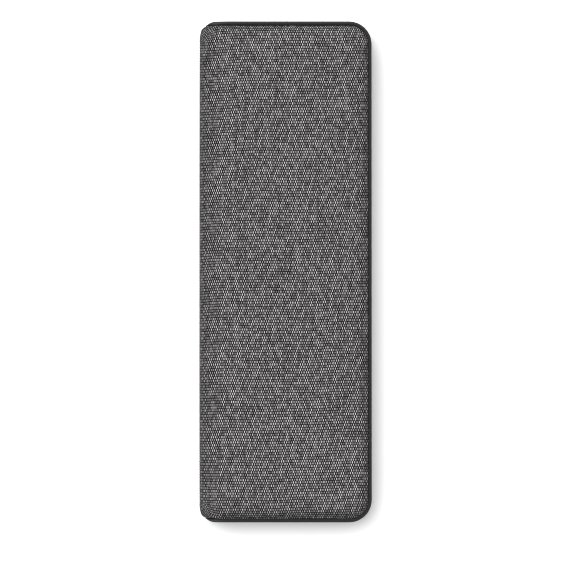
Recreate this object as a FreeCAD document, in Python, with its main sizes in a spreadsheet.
import FreeCAD, Part
import Sketcher
import math
import os

# Upholstered wrist rest: a moulded tray that carries a fabric-covered foam pad.
# +X runs along the length, +Y to the back (the keyboard side), +Z up.
# The front (-Y) is the side the wrists cross. The origin is the centre of the
# desk plane that the four feet stand on. Sizes are in millimetres.

doc = FreeCAD.newDocument("wrist_rest")

# Alias, value, note. A height is measured from the desk.
SIZES = [
    ("total_len", 203.2, "overall length along X"),
    ("total_dep", 69.85, "overall depth along Y"),
    ("front_over", 0.2, "fabric overhang past the tray's front edge"),
    # Tray
    ("tray_base", 1.0, "height of the tray's underside"),
    ("floor_top", 3.0, "height of the tray's inner floor"),
    ("floor_rad", 4.0, "corner radius of the inner floor"),
    ("ledge_top", 3.9, "height of the ledge the hem rests on"),
    ("ledge_wid", 8.0, "width of the ledge"),
    ("rim_top", 15.2, "height of the rim"),
    ("wall_thk", 1.6, "thickness of the rim"),
    ("tray_rad_back", 9.2, "tray corner radius at the back"),
    ("tray_rad_front", 6.4, "tray corner radius at the front"),
    ("cavity_past", 12.0, "how far the cavity's cut runs past the front"),
    ("cavity_rad_front", 3.0, "front corner radius of the cavity's cut"),
    ("bottom_round", 1.8, "rounding of the tray's lower edge"),
    ("rim_round", 0.55, "rounding of the rim"),
    ("swoop_start", 23.0, "distance in front of centre where the rim starts to fall"),
    ("swoop_rad", 11.3, "radius of the falling rim"),
    ("swoop_past", 20.0, "how far the swoop's cut runs past the front"),
    ("swoop_above", 10.0, "how far the swoop's cut runs above the rim"),
    # Pad and fabric
    ("pad_gap", 0.2, "gap between fabric and rim"),
    ("pad_rad_back", 7.5, "fabric corner radius at the back"),
    ("pad_rad_front", 6.8, "fabric corner radius at the front"),
    ("back_per_inset", 0.3, "back corner radius lost per unit of side inset"),
    ("front_per_inset", 0.25, "front corner radius lost per unit of front inset"),
    ("back_per_skin", 0.8, "back corner radius lost per unit of depth in the pad"),
    ("front_per_skin", 0.6, "front corner radius lost per unit of depth in the pad"),
    ("pad_base", 3.95, "height of the folded hem's underside"),
    ("under_inset", 1.0, "inset of the fabric's lowest section"),
    ("under_rise", 1.2, "height over which that inset runs out"),
    ("pad_top", 18.4, "height of the pad at the edge of its flat"),
    ("crown_top", 19.0, "height of the pad at its middle"),
    ("crown_front", 6.0, "crown's inset behind the front roll"),
    ("crown_side", 10.0, "crown's inset from the back and end roundings"),
    ("front_roll", 9.4, "radius of the front roll"),
    ("edge_run", 4.5, "how far the rounded back and end edges reach in"),
    ("edge_drop", 3.2, "how far the back and end edges fall"),
    ("fabric_thk", 0.9, "fabric thickness"),
    ("hem_wid", 9.0, "width of the turned-under hem"),
    ("hem_rad", 4.0, "corner radius of the opening inside the hem"),
    ("tape_thk", 0.1, "hem tape thickness"),
    ("tape_inset", 1.0, "hem tape's outer edge, in from the board's"),
    ("tape_back", 0.5, "hem tape's inner edge, out from the hem's"),
    # Board and foam
    ("board_base", 5.0, "height of the board's underside"),
    ("board_thk", 2.0, "board thickness"),
    ("film_thk", 0.2, "foam bonding film thickness"),
    ("film_inset", 1.5, "film's edge, in from the board's"),
    ("core_top", 12.4, "height where the two foams meet"),
    ("slack", 0.06, "clearance round soft pieces"),
    # Screws, towers and bosses
    ("screw_x", 90.0, "outer screws, distance from centre along X"),
    ("screw_y", 21.0, "screws, distance from centre along Y"),
    ("tower_dia", 8.0, "tray screw tower diameter"),
    ("tower_top", 4.5, "tray screw tower height"),
    ("boss_dia", 6.4, "board boss diameter"),
    ("boss_top", 9.6, "top of the board's bosses"),
    ("boss_pocket", 7.2, "diameter of the foam's hole round a boss"),
    ("pocket_gap", 0.4, "foam clearance above a boss"),
    ("pilot_dia", 2.1, "pilot hole in the boss"),
    ("pilot_top", 9.0, "end of the pilot hole"),
    ("screw_clear", 2.9, "clearance hole in the tray"),
    ("bore_dia", 5.8, "counterbore diameter"),
    ("bore_top", 2.9, "height of the counterbore's seat"),
    ("head_dia", 5.0, "screw head diameter"),
    ("head_thk", 1.6, "screw head height"),
    ("head_round", 0.7, "rounding of the screw head's lower edge"),
    ("shank_len", 5.6, "screw length under the head"),
    ("shank_gap", 0.03, "gap between shank and pilot hole"),
    ("shank_lap", 0.01, "overlap of shank and head"),
    ("drive_half", 1.3, "half-width of the cross recess"),
    ("drive_slot", 0.55, "width of each slot of the cross"),
    ("drive_deep", 0.9, "depth of the cross recess"),
    ("drive_past", 0.2, "how far the cross's cut runs below the head"),
    # Feet
    ("foot_len", 60.0, "foot length"),
    ("foot_wid", 9.0, "foot width"),
    ("foot_x", 46.0, "foot centre along X"),
    ("foot_y", 23.0, "foot centre along Y"),
    ("foot_gap", 0.3, "gap between a foot and its recess"),
    ("recess_top", 2.0, "height of the recess's seat"),
    ("foot_tape", 0.2, "foot tape thickness"),
    ("foot_tape_less", 0.6, "how much shorter and narrower the tape is than its foot"),
    ("foot_round", 0.4, "rounding of a foot's contact edge"),
    # Vents and ribs
    ("vent_dia", 6.0, "vent hole diameter"),
    ("vent_step", 30.0, "vent hole spacing"),
    ("rib_thk", 1.2, "tray rib thickness"),
    ("rib_top", 4.9, "tray rib height"),
    ("rib_x", 36.0, "tray rib spacing along X"),
    ("rib_len", 34.0, "tray rib length"),
]
VALUE = {}
sheet = doc.addObject("Spreadsheet::Sheet", "Dims")
for row, (alias, number, note) in enumerate(SIZES, start=1):
    sheet.set("A%d" % row, note)
    sheet.set("B%d" % row, str(number))
    sheet.setAlias("B%d" % row, alias)
    VALUE[alias] = number
doc.recompute()


class Size:
    """A size: the text that binds it to the sheet, and its present value."""

    def __init__(self, text, value):
        self.text = text
        self.value = float(value)

    @staticmethod
    def of(other):
        return other if isinstance(other, Size) else Size("%.9g" % other, other)

    def __add__(self, other):
        other = Size.of(other)
        return Size("(%s + %s)" % (self.text, other.text), self.value + other.value)

    def __sub__(self, other):
        other = Size.of(other)
        return Size("(%s - %s)" % (self.text, other.text), self.value - other.value)

    def __rsub__(self, other):
        return Size.of(other) - self

    def __mul__(self, other):
        other = Size.of(other)
        return Size("(%s * %s)" % (self.text, other.text), self.value * other.value)

    __rmul__ = __mul__

    def __truediv__(self, other):
        other = Size.of(other)
        return Size("(%s / %s)" % (self.text, other.text), self.value / other.value)

    def __neg__(self):
        return Size("(-1 * %s)" % self.text, -self.value)

    def root(self):
        return Size("sqrt(%s)" % self.text, math.sqrt(max(self.value, 0.0)))


def dim(alias):
    return Size("Dims." + alias, VALUE[alias])


def bind(obj, name, size):
    """Sets a property and ties it to the sheet."""
    setattr(obj, name, size.value)
    obj.setExpression(name, size.text)


def place(obj, x, y, z):
    """Moves an object and ties its place to the sheet."""
    obj.Placement = FreeCAD.Placement(
        FreeCAD.Vector(x.value, y.value, z.value), FreeCAD.Rotation()
    )
    for axis, size in (("x", x), ("y", y), ("z", z)):
        obj.setExpression("Placement.Base." + axis, size.text)


# --------------------------------------------------------------------------
# Sketches. In a constraint, point 1 is a curve's start, 2 its end, 3 its centre.
# --------------------------------------------------------------------------
QUARTER = math.pi / 2


def new_sketch(body, name, height=None, role="XY_Plane"):
    plane = next(f for f in body.Origin.OriginFeatures if f.Role == role)
    sk = body.newObject("Sketcher::SketchObject", name)
    sk.AttachmentSupport = [(plane, "")]
    sk.MapMode = "FlatFace"
    if height is not None:
        sk.AttachmentOffset = FreeCAD.Placement(
            FreeCAD.Vector(0, 0, height.value), FreeCAD.Rotation()
        )
        sk.setExpression("AttachmentOffset.Base.z", height.text)
    return sk


def line(x0, y0, x1, y1):
    return Part.LineSegment(FreeCAD.Vector(x0, y0, 0), FreeCAD.Vector(x1, y1, 0))


def circle(x, y, radius):
    return Part.Circle(FreeCAD.Vector(x, y, 0), FreeCAD.Vector(0, 0, 1), radius)


def arc(x, y, radius, start, end):
    return Part.ArcOfCircle(circle(x, y, radius), start, end)


def relate(sk, kind, *where):
    sk.addConstraint(Sketcher.Constraint(kind, *where))


def chain(sk, kind, first, count):
    """Joins each curve's end to the next one's start, round a closed loop."""
    for k in range(count):
        relate(sk, kind, first + k, 2, first + (k + 1) % count, 1)


def measure(sk, kind, *where, size):
    """A dimensional constraint tied to the sheet."""
    index = sk.addConstraint(Sketcher.Constraint(kind, *where, size.value))
    sk.setExpression("Constraints[%d]" % index, size.text)


def locate(sk, curve, point, size, axis):
    """Ties one point's coordinate to a size, measured from the sketch's origin."""
    size = Size.of(size)
    kind = "DistanceX" if axis == "x" else "DistanceY"
    if abs(size.value) < 1e-9:
        relate(sk, "PointOnObject", curve, point, -2 if axis == "x" else -1)
    elif size.value >= 0:
        measure(sk, kind, -1, 1, curve, point, size=size)
    else:
        measure(sk, kind, curve, point, -1, 1, size=-size)


def rounded_outline(sk, half_x, y_front, y_back, rad_front, rad_back):
    """A rectangle symmetric about X = 0, with its own corner radius front and back."""
    right, front, back = half_x.value, y_front.value, y_back.value
    rf, rb = rad_front.value, rad_back.value
    first = sk.GeometryCount
    sk.addGeometry(
        [
            line(-right + rf, front, right - rf, front),
            arc(right - rf, front + rf, rf, -QUARTER, 0),
            line(right, front + rf, right, back - rb),
            arc(right - rb, back - rb, rb, 0, QUARTER),
            line(right - rb, back, -right + rb, back),
            arc(-right + rb, back - rb, rb, QUARTER, 2 * QUARTER),
            line(-right, back - rb, -right, front + rf),
            arc(-right + rf, front + rf, rf, 2 * QUARTER, 3 * QUARTER),
        ],
        False,
    )
    chain(sk, "Tangent", first, 8)
    relate(sk, "Horizontal", first)
    relate(sk, "Horizontal", first + 4)
    relate(sk, "Vertical", first + 2)
    relate(sk, "Vertical", first + 6)
    for k, radius in ((1, rad_front), (7, rad_front), (3, rad_back), (5, rad_back)):
        measure(sk, "Radius", first + k, size=radius)
    locate(sk, first, 1, y_front, "y")
    locate(sk, first + 4, 1, y_back, "y")
    locate(sk, first + 2, 1, half_x, "x")
    locate(sk, first + 6, 1, -half_x, "x")


def circle_at(sk, x, y, diameter):
    x, y = Size.of(x), Size.of(y)
    curve = sk.addGeometry(circle(x.value, y.value, diameter.value / 2), False)
    measure(sk, "Diameter", curve, size=diameter)
    locate(sk, curve, 3, x, "x")
    locate(sk, curve, 3, y, "y")


def slot_at(sk, x, y, length, width):
    """An obround along X, centred on (x, y)."""
    radius = width / 2
    r, mid = radius.value, y.value
    left = x.value - length.value / 2 + r
    right = x.value + length.value / 2 - r
    first = sk.GeometryCount
    sk.addGeometry(
        [
            line(left, mid - r, right, mid - r),
            arc(right, mid, r, -QUARTER, QUARTER),
            line(right, mid + r, left, mid + r),
            arc(left, mid, r, QUARTER, 3 * QUARTER),
        ],
        False,
    )
    chain(sk, "Tangent", first, 4)
    relate(sk, "Horizontal", first)
    measure(sk, "Radius", first + 1, size=radius)
    locate(sk, first + 1, 3, y, "y")
    locate(sk, first + 1, 3, x + length / 2 - radius, "x")
    locate(sk, first + 3, 3, x - length / 2 + radius, "x")


def rectangle(sk, x0, x1, y0, y1):
    corners = [(x0, y0), (x1, y0), (x1, y1), (x0, y1)]
    first = sk.GeometryCount
    sk.addGeometry(
        [
            line(xa.value, ya.value, xb.value, yb.value)
            for (xa, ya), (xb, yb) in zip(corners, corners[1:] + corners[:1])
        ],
        False,
    )
    chain(sk, "Coincident", first, 4)
    for k, (x, y) in enumerate(corners):
        locate(sk, first + k, 1, x, "x")
        locate(sk, first + k, 1, y, "y")


# --------------------------------------------------------------------------
# Solid features
# --------------------------------------------------------------------------
def pad(body, sk, length, name, down=False):
    feature = body.newObject("PartDesign::Pad", name)
    feature.Profile = sk
    bind(feature, "Length", length)
    feature.Reversed = down
    doc.recompute()


def pocket(body, sk, length, name, up=False):
    """Cuts down or up from the sketch; a length of None cuts through both ways."""
    before = body.Shape.Volume
    feature = body.newObject("PartDesign::Pocket", name)
    feature.Profile = sk
    if length is None:
        feature.Type = "ThroughAll"
        feature.Midplane = True
    else:
        bind(feature, "Length", length)
    feature.Reversed = up
    doc.recompute()
    if not body.Shape.Volume < before - 1e-3:
        raise RuntimeError(name + " cut nothing")


def at_height(edge, z, tol=1e-4):
    box = edge.BoundBox
    return abs(box.ZMin - z) < tol and abs(box.ZMax - z) < tol


def middle(edge):
    return edge.valueAt((edge.FirstParameter + edge.LastParameter) / 2)


def fillet(body, test, radius, name):
    """Rounds the edges that pass the test."""
    names = ["Edge%d" % k for k, e in enumerate(body.Shape.Edges, start=1) if test(e)]
    tip = body.Tip
    feature = body.newObject("PartDesign::Fillet", name)
    feature.Base = (tip, names)
    bind(feature, "Radius", radius)
    doc.recompute()
    shape = feature.Shape
    if shape.isNull() or not shape.isValid() or "Invalid" in feature.State:
        raise RuntimeError(name + " failed")


# --------------------------------------------------------------------------
# Places that several pieces share
# --------------------------------------------------------------------------
half_len = dim("total_len") / 2
half_dep = dim("total_dep") / 2
tray_front = -half_dep + dim("front_over")
inner_half = half_len - dim("wall_thk")
inner_back = half_dep - dim("wall_thk")
pad_half = inner_half - dim("pad_gap")
pad_back = inner_back - dim("pad_gap")
skin = dim("fabric_thk")
inside = skin + dim("slack")
board_top = dim("board_base") + dim("board_thk")
core_base = board_top + dim("film_thk")

# Four outer screws, then two on the middle line.
SCREWS = [
    (sx * dim("screw_x"), sy * dim("screw_y")) for sx in (-1, 1) for sy in (-1, 1)
] + [(Size.of(0), sy * dim("screw_y")) for sy in (-1, 1)]

# Name, sign of X, sign of Y.
FEET = [
    ("front_left", -1, -1),
    ("front_right", 1, -1),
    ("back_left", -1, 1),
    ("back_right", 1, 1),
]


def screw_circles(sk, diameter):
    for x, y in SCREWS:
        circle_at(sk, x, y, diameter)
    return sk


def foot_slot(sk, sx, sy, grow):
    """A foot's outline, made longer and wider by grow."""
    x, y = sx * dim("foot_x"), sy * dim("foot_y")
    slot_at(sk, x, y, dim("foot_len") + grow, dim("foot_wid") + grow)


def hem_outline(sk, grow):
    """The opening inside the hem, moved outward by grow on every side."""
    hem, radius = dim("hem_wid"), dim("hem_rad")
    rounded_outline(
        sk,
        pad_half - hem + grow,
        -half_dep + hem - grow,
        pad_back - hem + grow,
        radius,
        radius,
    )


# --------------------------------------------------------------------------
# Tray: floor, back wall and two end walls in one moulding. The front is open,
# and the end walls' rim falls in an arc to the low front edge.
# --------------------------------------------------------------------------
# Bands inside the tray's outline where an edge counts as an outside one.
SIDE_BAND = 4
FRONT_BAND = 3


def cut_swoop(tray):
    """Cuts all that lies in front of and above an arc about a line along X."""
    # The sketch's horizontal axis is Y and its vertical axis is Z.
    sk = new_sketch(tray, "SwoopProfile", role="YZ_Plane")
    radius, rim, low_z = dim("swoop_rad"), dim("rim_top"), dim("ledge_top")
    centre_y, centre_z = -dim("swoop_start"), rim - radius
    fall = low_z - centre_z
    reach = (radius * radius - fall * fall).root()
    low_y = centre_y - reach
    far, high = -half_dep - dim("swoop_past"), rim + dim("swoop_above")
    end_angle = math.atan2(fall.value, -reach.value)
    sk.addGeometry(
        [
            arc(centre_y.value, centre_z.value, radius.value, QUARTER, end_angle),
            line(low_y.value, low_z.value, far.value, low_z.value),
            line(far.value, low_z.value, far.value, high.value),
            line(far.value, high.value, centre_y.value, high.value),
            line(centre_y.value, high.value, centre_y.value, rim.value),
        ],
        False,
    )
    chain(sk, "Coincident", 0, 5)
    for curve, kind in enumerate(("Horizontal", "Vertical") * 2, start=1):
        relate(sk, kind, curve)
    measure(sk, "Radius", 0, size=radius)
    locate(sk, 0, 3, centre_y, "x")
    locate(sk, 0, 3, centre_z, "y")
    locate(sk, 0, 1, centre_y, "x")
    locate(sk, 1, 1, low_z, "y")
    locate(sk, 2, 1, far, "x")
    locate(sk, 3, 1, high, "y")
    pocket(tray, sk, None, "Swoop")


def outer_bottom(edge):
    point = middle(edge)
    return at_height(edge, VALUE["tray_base"]) and (
        abs(point.x) > half_len.value - SIDE_BAND
        or point.y > half_dep.value - SIDE_BAND
        or point.y < tray_front.value + FRONT_BAND
    )


def level_rim(edge):
    """The rim's edges behind the start of the swoop."""
    behind = middle(edge).y + VALUE["swoop_start"] > 1e-3
    return behind and at_height(edge, VALUE["rim_top"])


def make_tray():
    tray = doc.addObject("PartDesign::Body", "base_tray")
    base, floor, ledge = dim("tray_base"), dim("floor_top"), dim("ledge_top")
    rim, rad_back = dim("rim_top"), dim("tray_rad_back")

    sk = new_sketch(tray, "TrayOutline", base)
    rounded_outline(sk, half_len, tray_front, half_dep, dim("tray_rad_front"), rad_back)
    pad(tray, sk, rim - base, "TrayBlock")

    sk = new_sketch(tray, "CavityOutline", rim)
    rounded_outline(
        sk,
        inner_half,
        -half_dep - dim("cavity_past"),
        inner_back,
        dim("cavity_rad_front"),
        rad_back - dim("wall_thk"),
    )
    pocket(tray, sk, rim - ledge, "Cavity")

    sk = new_sketch(tray, "FloorOutline", ledge)
    ledge_wid, radius = dim("ledge_wid"), dim("floor_rad")
    rounded_outline(
        sk,
        inner_half - ledge_wid,
        tray_front + ledge_wid,
        inner_back - ledge_wid,
        radius,
        radius,
    )
    pocket(tray, sk, ledge - floor, "FloorRecess")
    cut_swoop(tray)

    # Screw towers and cross ribs stand on the inner floor, under the board.
    sk = screw_circles(new_sketch(tray, "TowerCircles", floor), dim("tower_dia"))
    pad(tray, sk, dim("tower_top") - floor, "Towers")
    sk = new_sketch(tray, "RibOutline", floor)
    half_thk, half_run = dim("rib_thk") / 2, dim("rib_len") / 2
    for k in (-2, -1, 1, 2):
        x = k * dim("rib_x")
        rectangle(sk, x - half_thk, x + half_thk, -half_run, half_run)
    pad(tray, sk, dim("rib_top") - floor, "Ribs")

    # Counterbored screw holes and the feet's recesses, from the underside.
    seat = dim("bore_top")
    sk = screw_circles(new_sketch(tray, "CounterboreCircles", base), dim("bore_dia"))
    pocket(tray, sk, seat - base, "Counterbores", up=True)
    sk = screw_circles(new_sketch(tray, "ScrewHoleCircles", seat), dim("screw_clear"))
    pocket(tray, sk, dim("tower_top") - seat, "ScrewHoles", up=True)
    sk = new_sketch(tray, "FootRecesses", base)
    for _, sx, sy in FEET:
        foot_slot(sk, sx, sy, 2 * dim("foot_gap"))
    pocket(tray, sk, dim("recess_top") - base, "Recesses", up=True)

    # The lower outside edge is well rounded, the rim only lightly.
    fillet(tray, outer_bottom, dim("bottom_round"), "LowerRound")
    before = tray.Tip
    try:
        fillet(tray, level_rim, dim("rim_round"), "RimRound")
    except RuntimeError:
        # Guards a rim fillet that can't be built: the rim is left square.
        failed = tray.Tip
        tray.Tip = before
        doc.removeObject(failed.Name)
        doc.recompute()
    return tray


# --------------------------------------------------------------------------
# Pad levels: (height, front inset, back and end inset). The front is a quarter
# roll; the back and ends are a shallower rounding.
# --------------------------------------------------------------------------
# Heights in the front roll, as shares of its radius, closer together near the top.
ROLL_STEPS = (0, 0.2, 0.4, 0.55, 0.66, 0.75, 0.83, 0.9, 0.95, 0.985, 1.0)
MIN_STEP = 0.05  # levels closer than this are left out


def pad_outline(sk, skin_depth, front_in=Size.of(0), side_in=Size.of(0)):
    """The pad's outline, pulled in from the fabric's outside by skin_depth."""
    rounded_outline(
        sk,
        pad_half - side_in - skin_depth,
        -half_dep + front_in + skin_depth,
        pad_back - side_in - skin_depth,
        dim("pad_rad_front")
        - dim("front_per_inset") * front_in
        - dim("front_per_skin") * skin_depth,
        dim("pad_rad_back")
        - dim("back_per_inset") * side_in
        - dim("back_per_skin") * skin_depth,
    )


def full_level(height):
    return height, Size.of(0), Size.of(0)


def roll_level(z, height):
    """The insets the fabric's outside has at z, used at another height."""
    roll, run, drop = dim("front_roll"), dim("edge_run"), dim("edge_drop")
    rise = z - (dim("pad_top") - roll)
    front_in = roll - (roll * roll - rise * rise).root()
    side_in = Size.of(0)
    edge_start = dim("pad_top") - drop
    if z.value > edge_start.value + 1e-6:
        share = (z - edge_start) / drop
        side_in = run - run * (1 - share * share).root()
    return height, front_in, side_in


def crown_level(height):
    front_in = dim("front_roll") + dim("crown_front")
    return height, front_in, dim("edge_run") + dim("crown_side")


def with_roll(levels, limit, lower):
    """Adds the roll's levels up to a limit, each lower than the fabric's outside."""
    levels = list(levels)
    start = dim("pad_top") - dim("front_roll")
    for share in ROLL_STEPS:
        z = start + dim("front_roll") * share
        height = z - lower
        above_last = height.value > levels[-1][0].value + MIN_STEP
        if above_last and height.value < limit.value + 1e-6:
            levels.append(roll_level(z, height))
    return levels


def loft(body, levels, skin_depth, name, kind="Additive"):
    """Sections up the height of the pad, joined by straight-ruled faces."""
    sketches = []
    for k, (height, front_in, side_in) in enumerate(levels):
        sk = new_sketch(body, "%sLevel%d" % (name, k), height)
        pad_outline(sk, skin_depth, front_in, side_in)
        sketches.append(sk)
    doc.recompute()
    feature = body.newObject("PartDesign::%sLoft" % kind, name)
    feature.Profile = sketches[0]
    feature.Sections = sketches[1:]
    feature.Ruled = True
    doc.recompute()


def make_fabric():
    """A closed skin over the top and sides, with a hem turned under."""
    fabric = doc.addObject("PartDesign::Body", "fabric_cover")
    base, crown = dim("pad_base"), dim("crown_top")
    tuck = dim("under_inset")
    lowest = [(base, tuck, tuck), full_level(base + dim("under_rise"))]
    no_skin = Size.of(0)
    levels = with_roll(lowest, crown, no_skin) + [crown_level(crown)]
    loft(fabric, levels, no_skin, "Outside")
    full_volume = fabric.Shape.Volume

    base, crown = base + skin, crown - skin
    levels = with_roll([full_level(base)], crown, skin) + [crown_level(crown)]
    loft(fabric, levels, skin, "Inside", kind="Subtractive")
    if not fabric.Shape.Volume < 0.5 * full_volume:
        raise RuntimeError("the fabric is not hollow")

    sk = new_sketch(fabric, "HemOpening", base)
    hem_outline(sk, 0)
    pocket(fabric, sk, skin, "Opening")
    return fabric


def make_board():
    """A flat board, with bosses down to the towers and up into the foam."""
    board = doc.addObject("PartDesign::Body", "support_board")
    base, tower_top = dim("board_base"), dim("tower_top")
    sk = new_sketch(board, "BoardOutline", base)
    pad_outline(sk, inside)
    pad(board, sk, dim("board_thk"), "BoardPlate")
    sk = screw_circles(new_sketch(board, "LowerBossCircles", base), dim("boss_dia"))
    pad(board, sk, base - tower_top, "LowerBosses", down=True)
    sk = screw_circles(new_sketch(board, "UpperBossCircles", board_top), dim("boss_dia"))
    pad(board, sk, dim("boss_top") - board_top, "UpperBosses")
    sk = screw_circles(new_sketch(board, "PilotCircles", tower_top), dim("pilot_dia"))
    pocket(board, sk, dim("pilot_top") - tower_top, "Pilots", up=True)
    sk = new_sketch(board, "VentCircles", board_top)
    for k in (-2, -1, 0, 1, 2):
        circle_at(sk, k * dim("vent_step"), 0, dim("vent_dia"))
    pocket(board, sk, dim("board_thk"), "Vents")
    return board


def make_hem_tape():
    """A flat ring between the turned-under hem and the board."""
    tape = doc.addObject("PartDesign::Body", "hem_tape")
    sk = new_sketch(tape, "TapeOutline", dim("board_base") - dim("tape_thk"))
    pad_outline(sk, inside + dim("tape_inset"))
    hem_outline(sk, dim("tape_back"))
    pad(tape, sk, dim("tape_thk"), "TapeRing")
    return tape


def make_film():
    """The film that bonds the firm foam to the board."""
    film = doc.addObject("PartDesign::Body", "core_adhesive_film")
    sk = new_sketch(film, "FilmOutline", board_top)
    pad_outline(sk, inside + dim("film_inset"))
    screw_circles(sk, dim("boss_pocket"))
    pad(film, sk, dim("film_thk"), "Film")
    return film


def make_core():
    """The firm foam, with pockets over the board's bosses."""
    core = doc.addObject("PartDesign::Body", "foam_core")
    top = dim("core_top")
    levels = with_roll([full_level(core_base)], top, skin)
    loft(core, levels + [roll_level(top + skin, top)], inside, "CoreBlock")
    sk = screw_circles(new_sketch(core, "BossPockets", core_base), dim("boss_pocket"))
    depth = dim("boss_top") + dim("pocket_gap") - core_base
    pocket(core, sk, depth, "Pockets", up=True)
    return core


def make_soft_foam():
    """The soft foam, from the firm foam up to the fabric."""
    soft = doc.addObject("PartDesign::Body", "comfort_foam")
    base = dim("core_top")
    crown = dim("crown_top") - skin - dim("slack")
    levels = with_roll([roll_level(base + skin, base)], crown, inside)
    loft(soft, levels + [crown_level(crown)], inside, "SoftBlock")
    return soft


# --------------------------------------------------------------------------
# Screws: pan head with a cross recess, all six in one compound.
# --------------------------------------------------------------------------
def make_screw(index, x, y):
    head_low = dim("bore_top") - dim("head_thk")
    head = doc.addObject("Part::Cylinder", "Head%d" % index)
    bind(head, "Radius", dim("head_dia") / 2)
    bind(head, "Height", dim("head_thk"))
    place(head, x, y, head_low)
    shank = doc.addObject("Part::Cylinder", "Shank%d" % index)
    bind(shank, "Radius", dim("pilot_dia") / 2 - dim("shank_gap"))
    bind(shank, "Height", dim("shank_len"))
    place(shank, x, y, dim("bore_top") - dim("shank_lap"))
    doc.recompute()

    rounded_head = doc.addObject("Part::Fillet", "HeadRound%d" % index)
    rounded_head.Base = head
    radius = VALUE["head_round"]
    rounded_head.Edges = [
        (k, radius, radius)
        for k, edge in enumerate(head.Shape.Edges, start=1)
        if at_height(edge, head_low.value)
    ]
    blank = doc.addObject("Part::Fuse", "Blank%d" % index)
    blank.Base = rounded_head
    blank.Tool = shank

    bars = []
    long_side, short_side = dim("drive_half") * 2, dim("drive_slot")
    for name, length, width in (
        ("A", long_side, short_side),
        ("B", short_side, long_side),
    ):
        bar = doc.addObject("Part::Box", "Drive%s%d" % (name, index))
        bind(bar, "Length", length)
        bind(bar, "Width", width)
        bind(bar, "Height", dim("drive_deep") + dim("drive_past"))
        place(bar, x - length / 2, y - width / 2, head_low - dim("drive_past"))
        bars.append(bar)
    cross = doc.addObject("Part::Fuse", "Cross%d" % index)
    cross.Base, cross.Tool = bars
    screw = doc.addObject("Part::Cut", "Screw%d" % index)
    screw.Base = blank
    screw.Tool = cross
    doc.recompute()
    return screw


def make_screws():
    made = [make_screw(k, x, y) for k, (x, y) in enumerate(SCREWS)]
    screws = doc.addObject("Part::Compound", "tray_screws")
    screws.Links = made
    doc.recompute()
    return screws


def make_foot(where, sx, sy):
    """A foot and the tape that holds it in its recess."""
    foot_top = dim("recess_top") - dim("foot_tape")
    foot = doc.addObject("PartDesign::Body", "foot_" + where)
    sk = new_sketch(foot, "FootOutline_" + where, Size.of(0))
    foot_slot(sk, sx, sy, 0)
    pad(foot, sk, foot_top, "FootBlock_" + where)
    fillet(foot, lambda e: at_height(e, 0), dim("foot_round"), "FootRound_" + where)

    tape = doc.addObject("PartDesign::Body", "foot_tape_" + where)
    sk = new_sketch(tape, "FootTapeOutline_" + where, foot_top)
    foot_slot(sk, sx, sy, -dim("foot_tape_less"))
    pad(tape, sk, dim("foot_tape"), "FootTapeBlock_" + where)
    return [foot, tape]


def check(pieces):
    """Stops if any object is in error or any piece has no sound solid."""
    bad = []
    for obj in doc.Objects:
        if any(word in ("Invalid", "Error") for word in obj.State):
            bad.append(obj.Name + " " + str(obj.State))
    for obj in pieces:
        shape = obj.Shape
        if shape.isNull() or not shape.isValid() or len(shape.Solids) < 1:
            bad.append(obj.Label + " has no valid shape")
    if bad:
        raise RuntimeError("; ".join(bad))


pieces = [
    make_tray(),
    make_fabric(),
    make_board(),
    make_hem_tape(),
    make_film(),
    make_core(),
    make_soft_foam(),
    make_screws(),
]
for where, sx, sy in FEET:
    pieces += make_foot(where, sx, sy)
doc.recompute()
check(pieces)

os.makedirs("parts", exist_ok=True)
for piece in pieces:
    piece.Shape.exportStep("parts/%s.step" % piece.Label)
